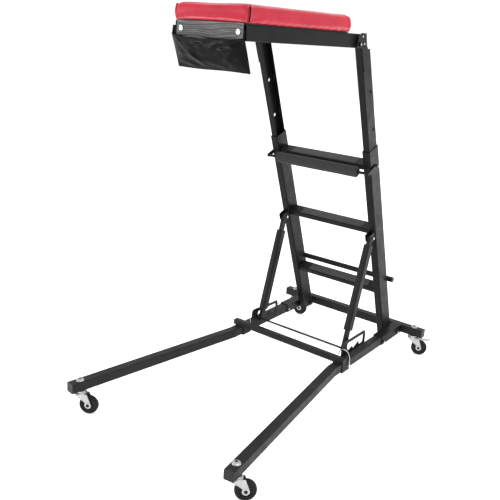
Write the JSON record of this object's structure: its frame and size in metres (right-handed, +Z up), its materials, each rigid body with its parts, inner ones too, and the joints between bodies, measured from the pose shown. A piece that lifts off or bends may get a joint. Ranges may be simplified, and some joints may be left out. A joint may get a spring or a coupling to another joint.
{
  "type": "mechanics creeper",
  "caption": "Foldable topside creeper: splayed rolling base on swivel casters, leaning step ladder with struts, telescoping uprights and a padded deck with a tool pouch.",
  "frame": {"origin": "on the floor under the middle of the object's box", "axes": "+Z up; +Y from the long front legs towards the rear cross tube; +X along the ladder steps, to the right as seen from the front legs"},
  "size_m": [0.8629, 1.5324, 1.54],
  "materials": {
    "black_steel": "satin",
    "zinc": "satin",
    "wheel_rubber": "matte",
    "plug_plastic": "matte",
    "roll_foam": "matte",
    "pad_vinyl": "satin",
    "pouch_vinyl": "satin",
    "deck_panel": "matte"
  },
  "bodies": {
    "base": {"rear_cross_tube": "black_steel", "rear_tube_cap_left": "plug_plastic", "rear_tube_cap_right": "plug_plastic", "base_rail_left": "black_steel", "base_rail_right": "black_steel", "foot_shoe_left": "black_steel", "foot_shoe_right": "black_steel", "angle_rack_left": "black_steel", "angle_rack_right": "black_steel", "front_cross_tube": "black_steel", "leg_socket_left": "black_steel", "leg_socket_right": "black_steel", "front_leg_left": "black_steel", "front_leg_right": "black_steel", "leg_end_cap_left": "plug_plastic", "leg_end_cap_right": "plug_plastic", "leg_pin_left": "zinc", "leg_pin_right": "zinc", "caster_mount_front_left": "zinc", "caster_mount_front_right": "zinc", "caster_mount_rear_left": "zinc", "caster_mount_rear_right": "zinc"},
    "swivel_front_left": {"caster_fork_front_left": "zinc"},
    "wheel_front_left": {"caster_wheel_front_left": "wheel_rubber"},
    "swivel_front_right": {"caster_fork_front_right": "zinc"},
    "wheel_front_right": {"caster_wheel_front_right": "wheel_rubber"},
    "swivel_rear_left": {"caster_fork_rear_left": "zinc"},
    "wheel_rear_left": {"caster_wheel_rear_left": "wheel_rubber"},
    "swivel_rear_right": {"caster_fork_rear_right": "zinc"},
    "wheel_rear_right": {"caster_wheel_rear_right": "wheel_rubber"},
    "brake_rear_left": {"brake_pedal_rear_left": "zinc"},
    "brake_rear_right": {"brake_pedal_rear_right": "zinc"},
    "bail_left": {"leg_pin_bail_left": "zinc"},
    "bail_right": {"leg_pin_bail_right": "zinc"},
    "ladder": {"ladder_rail_left": "black_steel", "ladder_rail_right": "black_steel", "ladder_step_1": "black_steel", "ladder_step_2": "black_steel", "ladder_step_3": "black_steel", "rear_cross_bar": "black_steel", "strut_clevis_left": "black_steel", "strut_clevis_right": "black_steel", "shin_bar": "black_steel"},
    "roll": {"shin_roll": "roll_foam"},
    "struts": {"strut_bar_left": "black_steel", "strut_bar_right": "black_steel", "strut_rod": "black_steel"},
    "sleeve_left": {"strut_sleeve_left": "black_steel"},
    "sleeve_right": {"strut_sleeve_right": "black_steel"},
    "uprights": {"upright_left": "black_steel", "upright_right": "black_steel", "deck_bracket_left": "black_steel", "deck_bracket_right": "black_steel"},
    "deck": {"deck_side_rail_left": "black_steel", "deck_side_rail_right": "black_steel", "deck_front_rail": "black_steel", "deck_board": "deck_panel", "deck_pad": "pad_vinyl", "tool_pouch": "pouch_vinyl"}
  },
  "joints": [
    {"name": "front_left_swivel", "type": "hinge", "parent": "base", "child": "swivel_front_left", "pos_m": [-0.40487, -0.71845, 0.086], "axis": [0, 0, 1], "continuous": true},
    {"name": "front_left_roll", "type": "hinge", "parent": "swivel_front_left", "child": "wheel_front_left", "pos_m": [-0.37251, -0.70267, 0.038], "axis": [-0.4384, 0.8988, 0], "continuous": true},
    {"name": "front_right_swivel", "type": "hinge", "parent": "base", "child": "swivel_front_right", "pos_m": [0.37087, -0.71845, 0.086], "axis": [0, 0, 1], "continuous": true},
    {"name": "front_right_roll", "type": "hinge", "parent": "swivel_front_right", "child": "wheel_front_right", "pos_m": [0.39762, -0.69436, 0.038], "axis": [-0.6691, 0.7431, 0], "continuous": true},
    {"name": "rear_left_swivel", "type": "hinge", "parent": "base", "child": "swivel_rear_left", "pos_m": [-0.368, 0.735, 0.086], "axis": [0, 0, 1], "continuous": true},
    {"name": "rear_left_roll", "type": "hinge", "parent": "swivel_rear_left", "child": "wheel_rear_left", "pos_m": [-0.3322, 0.73876, 0.038], "axis": [-0.1045, 0.9945, 0], "continuous": true},
    {"name": "rear_left_brake", "type": "hinge", "parent": "swivel_rear_left", "child": "brake_rear_left", "pos_m": [-0.34214, 0.73772, 0.081], "axis": [-0.1045, 0.9945, 0], "range_deg": [0, 10]},
    {"name": "rear_right_swivel", "type": "hinge", "parent": "base", "child": "swivel_rear_right", "pos_m": [0.334, 0.735, 0.086], "axis": [0, 0, 1], "continuous": true},
    {"name": "rear_right_roll", "type": "hinge", "parent": "swivel_rear_right", "child": "wheel_rear_right", "pos_m": [0.36877, 0.74432, 0.038], "axis": [-0.2588, 0.9659, 0], "continuous": true},
    {"name": "rear_right_brake", "type": "hinge", "parent": "swivel_rear_right", "child": "brake_rear_right", "pos_m": [0.35911, 0.74173, 0.081], "axis": [-0.2588, 0.9659, 0], "range_deg": [0, 10]},
    {"name": "bail_flip_left", "type": "hinge", "parent": "base", "child": "bail_left", "pos_m": [-0.3161, 0.178, 0.1273], "axis": [0, -1, 0], "range_deg": [0, 100]},
    {"name": "bail_flip_right", "type": "hinge", "parent": "base", "child": "bail_right", "pos_m": [0.2821, 0.178, 0.1273], "axis": [0, 1, 0], "range_deg": [0, 100]},
    {"name": "ladder_tilt", "type": "hinge", "parent": "base", "child": "ladder", "pos_m": [-0.017, 0.669, 0.115], "axis": [-1, 0, 0], "range_deg": [0, 7.5]},
    {"name": "strut_swing", "type": "hinge", "parent": "ladder", "child": "struts", "pos_m": [-0.017, 0.375, 0.641], "axis": [1, 0, 0], "range_deg": [0, 14]},
    {"name": "sleeve_slide_left", "type": "slide", "parent": "struts", "child": "sleeve_left", "axis": [0, -0.2559, -0.9667], "range_m": [-0.04, 0.04]},
    {"name": "sleeve_slide_right", "type": "slide", "parent": "struts", "child": "sleeve_right", "axis": [0, -0.2559, -0.9667], "range_m": [-0.006, 0.075]},
    {"name": "roll_spin", "type": "hinge", "parent": "ladder", "child": "roll", "pos_m": [-0.017, 0.23977, 0.94417], "axis": [1, 0, 0], "continuous": true},
    {"name": "height_slide", "type": "slide", "parent": "ladder", "child": "uprights", "axis": [0, -0.3811, 0.9245], "range_m": [-0.3, 0.1]},
    {"name": "deck_fold", "type": "hinge", "parent": "uprights", "child": "deck", "pos_m": [-0.017, 0.055, 1.444], "axis": [1, 0, 0], "range_deg": [0, 85]}
  ],
  "couplings": [
    {"joint": "strut_swing", "follows": "ladder_tilt", "ratio": 1.85}
  ]
}
